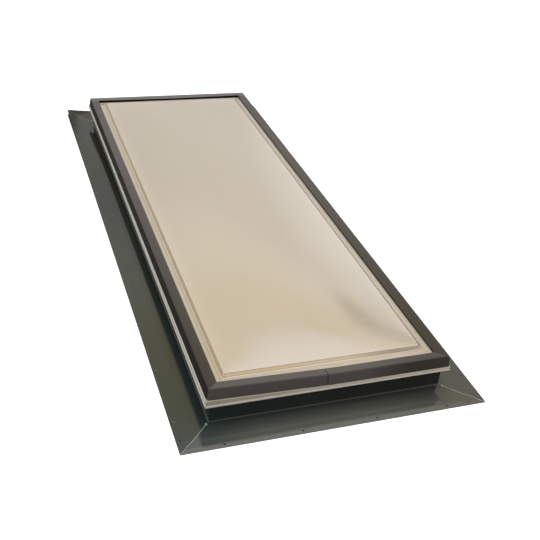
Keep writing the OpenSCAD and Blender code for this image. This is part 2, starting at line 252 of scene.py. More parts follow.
# Four strips of painted sheet make the flashing. Each is bent to a curb wall and a nailing flange,
# mitred at both ends, and waves a little between its nails. The back-left corner has curled up.
SIDES = {"right": 0, "back": 1, "left": 2, "front": 3}
CORNERS = {"front_left": (-1, -1), "front_right": (1, -1), "back_left": (-1, 1), "back_right": (1, 1)}
flange_x, flange_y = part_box("flashing_right")[1].x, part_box("flashing_back")[1].y
flange = 95 * mm
wall_x, wall_y = flange_x - flange, flange_y - flange
wall_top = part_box("flashing_front")[1].z
sheet, bend = 1.2 * mm, 3 * mm
seam_half, wall_steps = 0.28 * mm, (50 * mm, 36 * mm, 22 * mm, 10 * mm)
FLANGE_STEPS = (0.07, 0.14, 0.24, 0.36, 0.48, 0.6, 0.72, 0.82, 0.9, 0.96)
nail_edge, nail_pitch, nail_corner, nail_margin, nail_half = 11 * mm, 203.2 * mm, 47.5 * mm, 60 * mm, 2 * mm
corner_curl, curl_reach = 20 * mm, 330 * mm
swell_from, swell_over, swell_most = 12 * mm, 60 * mm, 0.9 * mm


def side_point(side, out, along, z):
    """A point of one side: out from the curb wall's face, along the side, and up."""
    across = (wall_x, wall_y, wall_x, wall_y)[side] + out
    a, b = ((across, along), (-along, across), (-across, -along), (along, -across))[side]
    return (a, b, z)


def side_half(side):
    return (wall_y, wall_x, wall_y, wall_x)[side]


def strip_section():
    """Points of (outwards from the curb wall's face, height): down the wall, out, and back under."""
    arc = [math.radians(90 - 15 * k) for k in range(7)]
    upper = [(0, z) for z in (wall_top, *wall_steps)]
    upper += [(bend - bend * math.sin(a), sheet + bend - bend * math.cos(a)) for a in arc]
    upper += [(flange * k, sheet) for k in FLANGE_STEPS]
    upper += [(flange - 0.3 * mm, sheet), (flange, sheet - 0.3 * mm), (flange, 0)]
    under = [(flange * k, 0) for k in reversed(FLANGE_STEPS)]
    outer = bend + sheet
    under += [(bend - outer * math.sin(a), outer - outer * math.cos(a)) for a in reversed(arc)]
    under += [(-sheet, z) for z in (*reversed(wall_steps), wall_top)]
    return upper + under


def wave(side, out, along):
    """How far the flange lifts off the deck: under a millimetre, and more at the curled back-left corner."""
    free = max(0.0, min(1.0, (out - swell_from) / swell_over))
    swell = noise.noise(Vector((along * 5.2, side * 7.3, out * 4)))
    x, y, _ = side_point(side, out, along, 0)
    curl = max(0.0, 1 - math.hypot(x + flange_x, (y - flange_y) / 2) / curl_reach)
    curled = corner_curl * curl * curl * max(0.0, out / flange) ** 1.3
    return free * free * max(0.0, swell) * swell_most + curled


def skin(stations, around):
    """Faces of a closed section carried along its stations, with both ends closed."""
    faces = [(i * around + j, i * around + (j + 1) % around, (i + 1) * around + (j + 1) % around,
              (i + 1) * around + j) for i in range(stations - 1) for j in range(around)]
    return faces + [tuple(range(around)), tuple(range((stations - 1) * around, stations * around))]


def strip_mesh(name, side, tip_round, materials):
    """One strip, with its flange's two outer tips rounded off by the radii given."""
    section = strip_section()
    half = side_half(side)
    ends = (0.0, 0.4, 1.2, 2.2, 3.6, 5.5, 9.0)
    count = round(2 * half / (14 * mm))
    inner = [2 * k / count - 1 for k in range(1, count)]
    stations = [(-1, e * mm) for e in ends] + [(t, None) for t in inner]
    stations += [(1, e * mm) for e in reversed(ends)]
    points = []
    for t, inset in stations:
        for out, z in section:
            reach = half + out - seam_half
            along = t * (reach - (12 * mm if inset is None else inset))
            cut = 0
            radius = tip_round[t > 0]
            if inset is not None and out > flange * 0.97:
                drawn_in = max(inset, radius * (1 - math.sqrt(0.5)))
                if drawn_in < radius:
                    cut = radius - math.sqrt(radius * radius - (radius - drawn_in) ** 2)
                    along = t * (reach - drawn_in)
            lift = wave(side, out - cut, along) if z < 3 * mm and out > 0 else 0
            points.append(side_point(side, out - cut, along, z + lift))
    return piece(name, points, skin(len(stations), len(section)), materials, 35)


def nail_row(side):
    """The strip's evenly spaced nail places, and the single one near its end."""
    half = side_half(side) + flange
    nails = int((2 * (half - nail_margin)) // nail_pitch) + 1
    row = [(k - (nails - 1) / 2) * nail_pitch for k in range(nails)]
    return [side_point(side, flange - nail_edge, along, 0) for along in row + [half - nail_corner]]


bronze, tree, shader, place = finish_of("bronze_enamel", 0.3, IOR=1.65)
blotch = grain(tree, place, 3.2, 5, rough=0.6)
mottle = grain(tree, place, 26, 4)
fleck = grain(tree, place, 900, 2)
tone = blend_of(tree, between(tree, blotch, 0.35, 0.65), rgb(0.03, 0.03, 0.021), rgb(0.037, 0.039, 0.031))
tone = blend_of(tree, between(tree, mottle, 0.45, 0.75, 0, 0.35), tone, rgb(0.045, 0.041, 0.028))
where = axes(tree, place)
# Painted light gives the flashing a cooler, greener tone towards the front-left.
cool_painted_light = both(tree, between(tree, where["Y"], -0.9, 0.7, 0.8, 0), between(tree, where["X"], -0.25, 0, 1, 0.3))
tone = blend_of(tree, cool_painted_light, tone, rgb(0.026, 0.042, 0.042))
# Painted light makes the right flange lighter.
tone = blend_of(tree, between(tree, where["X"], wall_x + 2 * mm, wall_x + 8 * mm), tone,
                rgb(0.05, 0.05, 0.036))
corner_way = axes(tree, mirrored(tree, place))
out_x = reckon(tree, "SUBTRACT", corner_way["X"], wall_x)
out_y = reckon(tree, "SUBTRACT", corner_way["Y"], wall_y)
past_mitre = between(tree, reckon(tree, "SUBTRACT", out_y, out_x), 0, 0.2 * mm)
front_only = both(tree, past_mitre, between(tree, where["Y"], -0.1, 0, 1, 0))
# Painted light lightens the front flange away from the curb wall, and again along its outer edge.
front_painted_light = both(tree, front_only, between(tree, where["X"], -0.36, -0.2, 0.3, 1),
            between(tree, where["X"], 0.1, 0.28, 1, 0.5), between(tree, out_y, 0, 50 * mm))
tone = blend_of(tree, front_painted_light, tone, rgb(0.08, 0.082, 0.07))
outer_edge_painted_light = both(tree, front_only, between(tree, out_y, 77 * mm, 80 * mm))
tone = blend_of(tree, outer_edge_painted_light, tone, rgb(0.085, 0.084, 0.073))
polish = reckon(tree, "MAXIMUM", between(tree, mottle, 0.3, 0.7, 0.05, 0.09),
                between(tree, where["Z"], 4 * mm, 12 * mm, 0, 0.5))
tree.links.new(between(tree, where["Z"], 4 * mm, 12 * mm, 0.5, 0.1), shader.inputs["Specular IOR Level"])
# The real flange falls away from the curb by about four degrees, the front one by five. Its sheet
# stays level here, and only its shading leans.
droop_slope = 0.072
fall = both(tree, reckon(tree, "MAXIMUM", out_x, out_y), between(tree, front_only, 0, 1, 1, 1.25))
droop = add(tree, "ShaderNodeBump", {"Height": fall, "Distance": droop_slope}, invert=True).outputs[0]
dress(tree, shader, tone, polish, reckon(tree, "ADD", fleck, blotch), 0.03, droop)
sharp_tip, round_tip = 1.5 * mm, 9 * mm
TIPS = {"front": (round_tip, sharp_tip), "right": (sharp_tip, sharp_tip), "back": (sharp_tip, sharp_tip),
        "left": (sharp_tip, round_tip)}


def grow(name, inputs, plan):
    """A Geometry Nodes tree with named inputs. Plan builds it and returns its last geometry socket."""
    tree = bpy.data.node_groups.new(name, "GeometryNodeTree")
    tree.interface.new_socket("Geometry", in_out="OUTPUT", socket_type="NodeSocketGeometry")
    tree.interface.new_socket("Geometry", in_out="INPUT", socket_type="NodeSocketGeometry")
    names = {}
    for label, (kind, value) in inputs.items():
        socket = tree.interface.new_socket(label, in_out="INPUT", socket_type="NodeSocket" + kind)
        if kind not in ("Material", "Object"):
            socket.default_value = value
        names[label] = socket.identifier
    start = tree.nodes.new("NodeGroupInput")
    end = tree.nodes.new("NodeGroupOutput")
    tree.links.new(plan(tree, {s.name: s for s in start.outputs if s.name}), end.inputs[0])
    return tree, names


def grown(made, growth, values):
    """Runs a tree on an object, keeps the result as a plain mesh and drops the modifier."""
    tree, names = growth
    work = made.modifiers.new("grow", "NODES")
    work.node_group = tree
    for label, value in values.items():
        work[names[label]] = value
    bpy.context.view_layer.update()
    result = bpy.data.meshes.new_from_object(made.evaluated_get(bpy.context.evaluated_depsgraph_get()))
    made.modifiers.remove(work)
    made.data = result
    return made


def kept_as(tree, geometry, material):
    """The end of a plan: its instances made real, with their material."""
    real = add(tree, "GeometryNodeRealizeInstances", {0: geometry}).outputs[0]
    return add(tree, "GeometryNodeSetMaterial", {"Geometry": real, "Material": material}).outputs[0]


def punch_plan(tree, given):
    nails = add(tree, "GeometryNodeObjectInfo", {"Object": given["Nail places"]}).outputs["Geometry"]
    punch = add(tree, "GeometryNodeMeshCylinder", {"Vertices": 20, "Radius": given["Hole radius"],
                                                   "Depth": 8 * mm})
    placed = add(tree, "GeometryNodeInstanceOnPoints", {"Points": nails, "Instance": punch.outputs[0]})
    cutters = add(tree, "GeometryNodeRealizeInstances", {0: placed.outputs[0]}).outputs[0]
    cut = add(tree, "GeometryNodeMeshBoolean", operation="DIFFERENCE", solver="EXACT")
    tree.links.new(given["Geometry"], cut.inputs[0])
    tree.links.new(cutters, cut.inputs[1])
    return kept_as(tree, cut.outputs[0], given["Enamel"])


punching = grow("punched_strip", {"Nail places": ("Object", None), "Hole radius": ("Float", nail_half),
                                  "Enamel": ("Material", None)}, punch_plan)
nail_places = {}
for name, side in SIDES.items():
    spots = piece("nail_places_" + name, nail_row(side), [], [])
    nail_places[name] = spots
    strip = strip_mesh("flashing_strip_" + name, side, TIPS[name], [bronze])
    grown(strip, punching, {"Nail places": spots, "Hole radius": nail_half, "Enamel": bronze})
    strip.data.shade_smooth()
    strip.data.set_sharp_from_angle(angle=math.radians(35))
    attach(strip, "root")
    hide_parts("flashing_" + name)

# Each nail hole is punched through the strip, and a thin burr stands at its rim. The left flange's burrs are
# painted light grey as painted glints.
burr, tree, shader, place = finish_of("punched_rim", 0.4)
where = axes(tree, place)
painted_glint = both(tree, between(tree, where["X"], -wall_x - 2 * mm, -wall_x, 1, 0),
              between(tree, where["Y"], -wall_y, 2 * mm - wall_y))
tone = blend_of(tree, grain(tree, place, 700, 3), rgb(0.008, 0.008, 0.007), rgb(0.03, 0.03, 0.026))
dress(tree, shader, blend_of(tree, painted_glint, tone, rgb(0.2, 0.197, 0.19)),
      between(tree, grain(tree, place, 500), 0.3, 0.7, 0.35, 0.6))


def rim_plan(tree, given):
    circle = add(tree, "GeometryNodeCurvePrimitiveCircle", {"Resolution": 20, "Radius": given["Rim radius"]})
    wire = add(tree, "GeometryNodeCurvePrimitiveCircle", {"Resolution": 8, "Radius": given["Wire radius"]})
    ring = add(tree, "GeometryNodeCurveToMesh", {"Curve": circle.outputs[0],
                                                 "Profile Curve": wire.outputs[0]})
    flat = add(tree, "GeometryNodeTransform", {"Geometry": ring.outputs[0], "Scale": (1, 1, 0.5)})
    placed = add(tree, "GeometryNodeInstanceOnPoints", {"Points": given["Geometry"],
                                                       "Instance": flat.outputs[0]})
    return kept_as(tree, placed.outputs[0], given["Metal"])


rim_radius, rim_wire, rim_sunk = 2.3 * mm, 0.7 * mm, 0.05 * mm
rims = grow("nail_rims", {"Rim radius": ("Float", rim_radius), "Wire radius": ("Float", rim_wire),
                          "Metal": ("Material", None)}, rim_plan)
for name, spots in nail_places.items():
    side = SIDES[name]
    for vertex in spots.data.vertices:
        along = (vertex.co.y, -vertex.co.x, -vertex.co.y, vertex.co.x)[side]
        vertex.co.z = sheet + wave(side, flange - nail_edge, along) - rim_sunk
    spots.name = "nail_rims_" + name
    grown(spots, rims, {"Rim radius": rim_radius, "Wire radius": rim_wire, "Metal": burr})
    spots.data.shade_smooth()
    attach(spots, "root")

# The flange corners are closed by a hand-laid weld bead, a row of overlapping puddles of bare
# aluminium that wanders a little along the mitre.
bare, tree, shader, place = finish_of("bare_weld", 0.35, Metallic=0.85)
dress(tree, shader, blend_of(tree, grain(tree, place, 260, 4), rgb(0.3, 0.31, 0.29), rgb(0.66, 0.68, 0.65)),
      between(tree, grain(tree, place, 300), 0.3, 0.7, 0.28, 0.5), grain(tree, place, 800, 2), 0.1)


def bead_plan(tree, given):
    puddle = add(tree, "GeometryNodeMeshIcoSphere", {"Radius": given["Puddle radius"], "Subdivisions": 3})
    number = add(tree, "GeometryNodeInputIndex").outputs[0]
    size = add(tree, "FunctionNodeRandomValue", {"Min": (0.75, 0.75, 0.4), "Max": (1.15, 1.15, 0.62),
                                                 "ID": number, "Seed": given["Seed"]},
               data_type="FLOAT_VECTOR").outputs[0]
    placed = add(tree, "GeometryNodeInstanceOnPoints", {"Points": given["Geometry"],
                                                       "Instance": puddle.outputs[0], "Scale": size})
    return kept_as(tree, placed.outputs[0], given["Metal"])


beading = grow("weld_bead", {"Puddle radius": ("Float", 1.8 * mm), "Seed": ("Int", 3),
                             "Metal": ("Material", None)}, bead_plan)
bead_pitch, bead_sunk = 1.5 * mm, 0.1 * mm
# Puddle radius and wander of each bead, in millimetres
BEADS = {"front_left": (1.25, 1.6), "front_right": (1.0, 3.4),
         "back_left": (0.6, 2.0), "back_right": (0.6, 2.0)}
for seed, (corner, (sx, sy)) in enumerate(CORNERS.items()):
    low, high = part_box("weld_bead_" + corner)
    begin = min(abs(low.x), abs(high.x)) - wall_x
    finish = max(abs(low.x), abs(high.x)) - wall_x
    width, wander = BEADS[corner]
    count = int((finish - begin) * math.sqrt(2) / bead_pitch)
    spine = []
    for k in range(count):
        far = begin + (finish - begin) * k / (count - 1)
        loose = wander * mm * math.sin(math.pi * k / (count - 1))
        stray = noise.noise(Vector((far * 28, seed * 5.1, 0.3))) * loose
        up = wave(SIDES["back" if sy > 0 else "front"], far, -sx * sy * (wall_x + far))
        spine.append((sx * (wall_x + far + stray), sy * (wall_y + far - stray), sheet + up - bead_sunk))
    bead = piece("weld_" + corner, spine, [], [])
    grown(bead, beading, {"Puddle radius": width * mm, "Seed": seed, "Metal": bare})
    bead.data.shade_smooth()
    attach(bead, "root")
    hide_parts("weld_bead_" + corner)

# A dab of grey sealant closes the pinhole where two strips meet at the foot of each corner. It is
# squeezed from a tube and left lumpy.
sealant, tree, shader, place = finish_of("grey_sealant", 0.35)
dress(tree, shader, blend_of(tree, grain(tree, place, 90, 4), rgb(0.3, 0.31, 0.28), rgb(0.5, 0.5, 0.46)),
      between(tree, grain(tree, place, 200), 0.3, 0.7, 0.25, 0.5), grain(tree, place, 350, 3), 0.3)
for number, (corner, (sx, sy)) in enumerate(CORNERS.items()):
    low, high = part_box("sealant_dab_" + corner)
    middle = (low + high) / 2
    half_size = (high - low) / 2
    shape = bmesh.new()
    bmesh.ops.create_icosphere(shape, subdivisions=4, radius=1)
    for vertex in shape.verts:
        lump = 0.86 + 0.14 * noise.noise(vertex.co * 1.6 + Vector((number * 3.1, 0, 0)))
        vertex.co = Vector((middle.x + vertex.co.x * half_size.x * lump * 0.8,
                            middle.y + vertex.co.y * half_size.y * lump * 0.8,
                            low.z + max(vertex.co.z, -0.1) * (high.z - low.z) * lump))
    mesh = bpy.data.meshes.new("sealant_" + corner)
    shape.to_mesh(mesh)
    shape.free()
    mesh.materials.append(sealant)
    mesh.shade_smooth()
    dab = bpy.data.objects.new("sealant_" + corner, mesh)
    bpy.context.scene.collection.objects.link(dab)
    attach(dab, "root")
    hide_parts("sealant_dab_" + corner)

# The frame is four hollow extrusions of tan vinyl, mitred and welded. A lip with a lower bead, a
# groove and a set-back upper band stands out over the curb wall. At the front-left corner it is sprung
# up a little, with the cap on it.
rail_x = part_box("frame_rail_right")[1].x
cap_x, cap_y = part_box("cap_right")[1].x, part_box("cap_right")[1].y
lip_low, lip_high = 60 * mm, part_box("cap_right")[0].z
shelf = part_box("frame_rail_front")[1].z
rail_wide = 35 * mm
open_x, open_y = wall_x - rail_wide - sheet, wall_y - rail_wide - sheet
lip_reach = (rail_x - open_x) / mm
corner_lift = 10.9 * mm


def sprung(x, y):
    """Lift of the frame's lip and the cap, full at the front-left corner and none past the seams."""
    return corner_lift * max(0.0, min(1.0, -x / cap_x)) * max(0.0, min(1.0, (cap_y - y) / (2 * cap_y)))


def rail_section():
    """Points of (outwards from the opening, height, share of the lift), closed, in millimetres."""
    low, high = lip_low / mm, lip_high / mm
    slot_in, slot_out, slot_head = rail_wide / mm, rail_wide / mm + 1.8, low + 5.5
    points = [(0, 0, 0), (slot_in, 0, 0), (slot_in, slot_head, 0), (slot_out, slot_head, 0), (slot_out, low, 0)]
    points += [(lip_reach - 1 + math.sin(a), low + 1 - math.cos(a), 0)
               for a in (math.radians(22.5 * k) for k in range(5))]
    points += [(lip_reach - set_back, low + up, share) for set_back, up, share in
               ((0, 2.2, 0.1), (0.3, 3.2, 0.2), (0.8, 3.9, 0.25), (1.5, 4.2, 0.3), (1.5, 4.8, 0.35),
                (1, 5.2, 0.4), (1.1, 8, 0.7))]
    points += [(lip_reach - 2.6 + 1.4 * math.cos(a), high - 1.4 + 1.4 * math.sin(a), 1)
               for a in (math.radians(22.5 * k) for k in range(5))]
    groove_in, groove_top, shelf_out = 39.6, high + 2.2, 43.1
    top, shelf_in, gutter, gutter_in, gutter_lip = shelf / mm, 14, low + 2.5, 2.5, shelf / mm - 4
    return points + [(groove_in, high, 1), (groove_in, groove_top, 0), (shelf_out, groove_top, 0),
                     (shelf_out, top, 0), (shelf_in, top, 0), (shelf_in, gutter, 0), (gutter_in, gutter, 0),
                     (gutter_in, gutter_lip, 0), (0, gutter_lip, 0)]


# The front and back rails take a darker copy of the vinyl and the side rails a lighter one, painted shade and
# painted light.
for run, stretch, low_tone, high_tone in (("x", (0.02, 1, 1), (0.68, 0.62, 0.52), (0.78, 0.72, 0.62)),
                                          ("y", (1, 0.02, 1), (0.85, 0.8, 0.7), (0.92, 0.88, 0.79))):
    vinyl, tree, shader, place = finish_of("tan_vinyl_" + run, 0.42, IOR=1.5, Subsurface_Weight=0.6,
                                         Subsurface_Radius=(1.0, 0.9, 0.75), Subsurface_Scale=0.005)
    lines = grain(tree, place, 420, 3, stretch)
    tone = blend_of(tree, lines, rgb(*low_tone), rgb(*high_tone))
    if run == "x":
        tall = axes(tree, place)["Z"]
        # Painted shade darkens the top of the front and back lips, under the cap's foot.
        painted_shade_under_cap = between(tree, tall, lip_high - 2.4 * mm, lip_high - 1.2 * mm, 0, 0.7)
        tone = blend_of(tree, painted_shade_under_cap, tone, rgb(0.4, 0.35, 0.27))
    dress(tree, shader, blend_of(tree, between(tree, grain(tree, place, 5, 4), 0.4, 0.7, 0, 0.35), tone,
                                 rgb(0.72, 0.63, 0.5)),
          between(tree, lines, 0.3, 0.7, 0.36, 0.5), lines, 0.06)
    for name in ("front", "back") if run == "x" else ("left", "right"):
        side = SIDES[name]
        points = []
        stations = 61
        for k in range(stations):
            for out, z, share in rail_section():
                half = (open_x if run == "x" else open_y) + out * mm
                x, y, z = side_point(side, out * mm - rail_wide - sheet, half * (2 * k / (stations - 1) - 1),
                                     z * mm)
                points.append((x, y, z + share * sprung(x, y)))
        faces = skin(stations, len(rail_section()))
        rail = piece("vinyl_rail_" + name, points, faces, [vinyl], 30)
        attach(rail, "root")
        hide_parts("frame_rail_" + name)

# Black closed-cell foam tape beds the inner dome on the frame and spaces the two domes.
foam, tree, shader, place = finish_of("foam_tape", 0.9)
cells = add(tree, "ShaderNodeTexVoronoi", {"Vector": place, "Scale": 1400}).outputs["Distance"]
dress(tree, shader, blend_of(tree, cells, rgb(0.008, 0.008, 0.008), rgb(0.03, 0.03, 0.03)), None, cells, 0.2)


def coat(node, material):
    """Dresses a piece that keeps the plain shape of its solid."""
    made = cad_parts[node]
    made.data.materials.clear()
    made.data.materials.append(material)


for kind in ("bedding_tape_", "spacer_tape_"):
    for name in SIDES:
        coat(kind + name, foam)

# Both domes are acrylic sheets, heated, clamped at the rim and blown: a flat flange with the clamp's
# step, a short riser with a rounded ridge, and a low crown that dies away at both ends.
CORNER_POINTS, END_POINTS, SIDE_POINTS = 13, 24, 64
CROWN_RINGS = [k / 24 for k in range(23, 0, -1)]


def evenly(a, b, count):
    return [(a[0] + (b[0] - a[0]) * k / (count + 1), a[1] + (b[1] - a[1]) * k / (count + 1))
            for k in range(1, count + 1)]


def rounded(hx, hy, r):
    """A rectangle with round corners, as points anticlockwise from its right side's back end."""
    def bow(cx, cy, start):
        angles = [math.radians(start + 90 * k / (CORNER_POINTS - 1)) for k in range(CORNER_POINTS)]
        return [(cx + r * math.cos(a), cy + r * math.sin(a)) for a in angles]
    return (bow(hx - r, hy - r, 0) + evenly((hx - r, hy), (r - hx, hy), END_POINTS)
            + bow(r - hx, hy - r, 90) + evenly((-hx, hy - r), (-hx, r - hy), SIDE_POINTS)
            + bow(r - hx, r - hy, 180) + evenly((r - hx, -hy), (hx - r, -hy), END_POINTS)
            + bow(hx - r, r - hy, 270) + evenly((hx, r - hy), (hx, hy - r), SIDE_POINTS))


def blown(x, y, hx, hy):
    """Height of the blown crown as a share of its middle: a parabola across, and level down the length."""
    k = math.pi / 2
    return (1 - (x / hx) ** 2) * (1 - math.cosh(k * y / hx) / math.cosh(k * hy / hx))


def rim_rows(z, side_foot, end_foot, step_at, step, tall):
    """Rows of (side inset, end inset, height, corner radius, place on the section), edge inwards."""
    rows = [(0, 0, z, 6, 0.0), (step_at - 8, step_at - 8, z, 6, 0.5), (step_at - 1, step_at - 1, z, 6, 0.9),
            (step_at, step_at, z, 6, 1.0), (step_at + 0.75, step_at + 0.75, z + step / 2, 6, 1.5),
            (step_at + 1.5, step_at + 1.5, z + step, 6, 2.0), (step_at + 3, step_at + 3, z + step, 6.5, 2.3)]
    for share, mark in ((0.45, 2.5), (0.8, 2.8)):
        rows.append((step_at + 3 + (side_foot - step_at - 4.5) * share,
                     step_at + 3 + (end_foot - step_at - 4.5) * share, z + step, 6.5, mark))
    foot, draft, ridge, corner = 1.5, 4, 2.5, 5
    for k in range(5):
        a = math.radians(22.5 * k)
        rows.append((side_foot - foot + foot * math.sin(a), end_foot - foot + foot * math.sin(a),
                     z + step + foot * (1 - math.cos(a)), corner + foot * (1 - math.sin(a)), 3 + k * 0.25))
    top = z + tall
    base_z, ridge_z = z + step + foot, top - ridge
    for share in (0.35, 0.7):
        rows.append((side_foot + draft * share, end_foot + draft * share,
                     base_z + (ridge_z - base_z) * share, corner, 4 + share))
    for k in range(7):
        a = math.radians(15 * k)
        inset = draft + ridge * (1 - math.cos(a))
        rows.append((side_foot + inset, end_foot + inset, ridge_z + ridge * math.sin(a), corner, 5 + k / 6))
    return rows


def formed_dome(name, node, thick, crown, rows, materials):
    """A sheet of even thickness over the rows of its rim and its crown, in millimetres."""
    low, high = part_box(node)
    hx, hy = high.x / mm, high.y / mm

    def face(rows):
        last = rows[-1]
        px, py = hx - last[0], hy - last[1]
        points = [(x, y, row[2], row[4]) for row in rows
                  for x, y in rounded(hx - row[0], hy - row[1], row[3])]
        for s in CROWN_RINGS:
            points += [(x, y, last[2] + crown * blown(x, y, px, py), 7 - s)
                       for x, y in rounded(s * px, s * py, s * last[3])]
        return points + [(0, 0, last[2] + crown * blown(0, 0, px, py), 7)]

    under_rows = []
    for i, row in enumerate(rows):
        a, b = rows[max(i - 1, 0)], rows[min(i + 1, len(rows) - 1)]
        run, up = b[0] - a[0], b[2] - a[2]
        slope = math.hypot(run, up)
        under_rows.append((row[0] + thick * up / slope, row[1] + thick * up / slope,
                           row[2] - thick * run / slope, row[3], row[4]))
    top, under = face(rows), face(under_rows)
    size = len(rounded(100, 100, 10))
    rings, m = len(rows) + len(CROWN_RINGS), len(top)
    faces = []
    for start, flip in ((0, False), (m, True)):
        for r in range(rings - 1):
            for i in range(size):
                j = (i + 1) % size
                quad = (start + r * size + i, start + r * size + j, start + (r + 1) * size + j,
                        start + (r + 1) * size + i)
                faces.append(tuple(reversed(quad)) if flip else quad)
        for i in range(size):
            j = (i + 1) % size
            last = start + (rings - 1) * size
            tri = (last + i, last + j, start + m - 1)
            faces.append(tuple(reversed(tri)) if flip else tri)
    faces += [(i, m + i, m + (i + 1) % size, (i + 1) % size) for i in range(size)]
    mesh = bpy.data.meshes.new(name)
    mesh.from_pydata([(x * mm, y * mm, z * mm) for x, y, z, _ in top + under], [], faces)
    marks = mesh.attributes.new("section", "FLOAT", "POINT")
    marks.data.foreach_set("value", [mark for *_, mark in top + under])
    for material in materials:
        mesh.materials.append(material)
    mesh.shade_smooth()
    mesh.set_sharp_from_angle(angle=math.radians(50))
    dome = bpy.data.objects.new(name, mesh)
    bpy.context.scene.collection.objects.link(dome)
    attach(dome, "root")
    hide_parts(node)
    return dome


white, tree, shader, place = finish_of("white_acrylic", 0.25, IOR=1.49)
dress(tree, shader, blend_of(tree, grain(tree, place, 4, 4), rgb(0.76, 0.75, 0.71), rgb(0.82, 0.81, 0.78)),
      between(tree, grain(tree, place, 60), 0.3, 0.7, 0.2, 0.32))
cap_wide, cap_splay = 30 * mm, 4.4 * mm
glass_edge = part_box("outer_dome")[1].x / mm
flat_from = glass_edge - (cap_x - cap_splay - cap_wide) / mm
inner = formed_dome("inner_dome_sheet", "inner_dome", 2.5, 25,
                    rim_rows(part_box("inner_dome")[0].z / mm + 2.5, flat_from + 30, flat_from + 35.5,
                             flat_from + 15, 0.4, 8), [white])

tint, tree, shader, place = finish_of("bronze_acrylic", 0.08, IOR=2.4, Subsurface_Weight=0.5,
                                     Subsurface_Radius=(1.0, 0.8, 0.55), Subsurface_Scale=0.012)
section = add(tree, "ShaderNodeAttribute", attribute_name="section").outputs["Fac"]
SECTION_END = 8
# How strongly each place on the rim's section takes the sheet's golden tint over a lighter cream: partly the
# sheet's own tint, partly painted highlight on the foot and ridge lines and painted shade on the clamp step and
# the riser
EDGE = ((0.0, 0.0), (0.5, 0.1), (0.9, 0.3), (1.2, 1.0), (1.7, 1.0), (2.1, 0.5), (2.6, 0.4), (3.0, 0.0),
        (3.5, 0.1), (4.0, 0.75), (4.9, 0.9), (5.4, 0.8), (5.7, 0.15), (6.0, 0.05), (6.12, 0.25), (7.0, 0.25))
rim_tint_and_painted_light = ramp_of(tree, between(tree, section, 0, SECTION_END),
                    [(mark / SECTION_END, rgb(share)) for mark, share in EDGE])
body = blend_of(tree, between(tree, grain(tree, place, 1.6, 3), 0.35, 0.65), rgb(0.362, 0.302, 0.238),
                rgb(0.382, 0.32, 0.254))
body = blend_of(tree, rim_tint_and_painted_light, rgb(0.6, 0.52, 0.42), body)
deep_tint_and_painted_shade = blend_of(tree, between(tree, rim_tint_and_painted_light, 0.25, 1.0), body, rgb(0.5, 0.4, 0.27))
across = axes(tree, place)["X"]
riser_foot = (glass_edge - flat_from - 30) * mm
far_side = between(tree, across, riser_foot - 1 * mm, riser_foot)
ridge = both(tree, between(tree, section, 4.9, 5.1), between(tree, section, 6.0, 6.05, 1, 0))
# The riser and its foot get painted light, a glow that fades towards the right side.
riser = both(tree, between(tree, section, 3.6, 4.1), between(tree, section, 5.0, 5.4, 1, 0))
foot = both(tree, between(tree, section, 2.85, 3.0), between(tree, section, 3.4, 3.6, 1, 0))
lit = reckon(tree, "ADD", between(tree, riser, 0, 1, 0, 0.24), between(tree, foot, 0, 1, 0, 0.2))
near_side = between(tree, across, -riser_foot, 1 * mm - riser_foot, 0.6, 1)
glow = both(tree, lit, between(tree, far_side, 0, 1, 1, 0), near_side, between(tree, across, 0.06, 0.2, 1, 0))
shader.inputs["Emission Color"].default_value = rgb(1.0, 0.8, 0.5)
tree.links.new(glow, shader.inputs["Emission Strength"])
# Painted shade darkens the ridge along the right side in a thin dark line.
dress(tree, shader, blend_of(tree, both(tree, far_side, ridge), deep_tint_and_painted_shade, rgb(0.07, 0.055, 0.04)),
      between(tree, grain(tree, place, 7, 4), 0.3, 0.7, 0.06, 0.1))
outer = formed_dome("outer_dome_sheet", "outer_dome", 3.2, 30,
                    rim_rows(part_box("outer_dome")[0].z / mm + 3.2, flat_from + 22, flat_from + 27.5,
                             flat_from + 15, 1, 11), [tint])

# A black rubber gasket lies under the cap on each side.
rubber, tree, shader, place = finish_of("black_rubber", 0.55, Specular_IOR_Level=0.1)
tone = blend_of(tree, grain(tree, place, 120, 3), rgb(0.003, 0.003, 0.003), rgb(0.008, 0.007, 0.007))
dress(tree, shader, tone, between(tree, grain(tree, place, 90), 0.3, 0.7, 0.45, 0.65),
      grain(tree, place, 600, 2), 0.08)
for name in SIDES:
    coat("cap_gasket_" + name, rubber)

# The cap is folded from painted aluminium in two halves, mitred on top and hemmed at the foot. The
# halves meet at each end over a mill-finish splice plate, in front a little left of the middle.
brown, tree, shader, place = finish_of("brown_enamel", 0.4, IOR=1.5)
mottle = grain(tree, place, 18, 5)
tone = blend_of(tree, mottle, rgb(0.024, 0.017, 0.009), rgb(0.034, 0.026, 0.016))
spot = axes(tree, place)
facing = axes(tree, add(tree, "ShaderNodeNewGeometry").outputs["True Normal"])
back_band = 36 * mm
# Painted light lightens the cap towards the back.
tone = blend_of(tree, between(tree, spot["Y"], -0.85, 0.3, 0, 0.7), tone, rgb(0.1, 0.088, 0.09))
# Painted light lightens the top of the cap's front run, most to the left.
front_top_painted_light = both(tree, between(tree, facing["Y"], 0.06, 0.1), between(tree, spot["X"], 0.08, 0.25, 0.85, 0.2))
tone = blend_of(tree, front_top_painted_light, tone, rgb(0.09, 0.08, 0.078))
# Painted light lightens the top of the cap's back run.
back_top_painted_light = both(tree, between(tree, facing["Z"], 0.8, 0.9, 0, 0.9),
                between(tree, spot["Y"], cap_y - back_band - 2 * mm, cap_y - back_band))
tone = blend_of(tree, back_top_painted_light, tone, rgb(0.15, 0.134, 0.136))
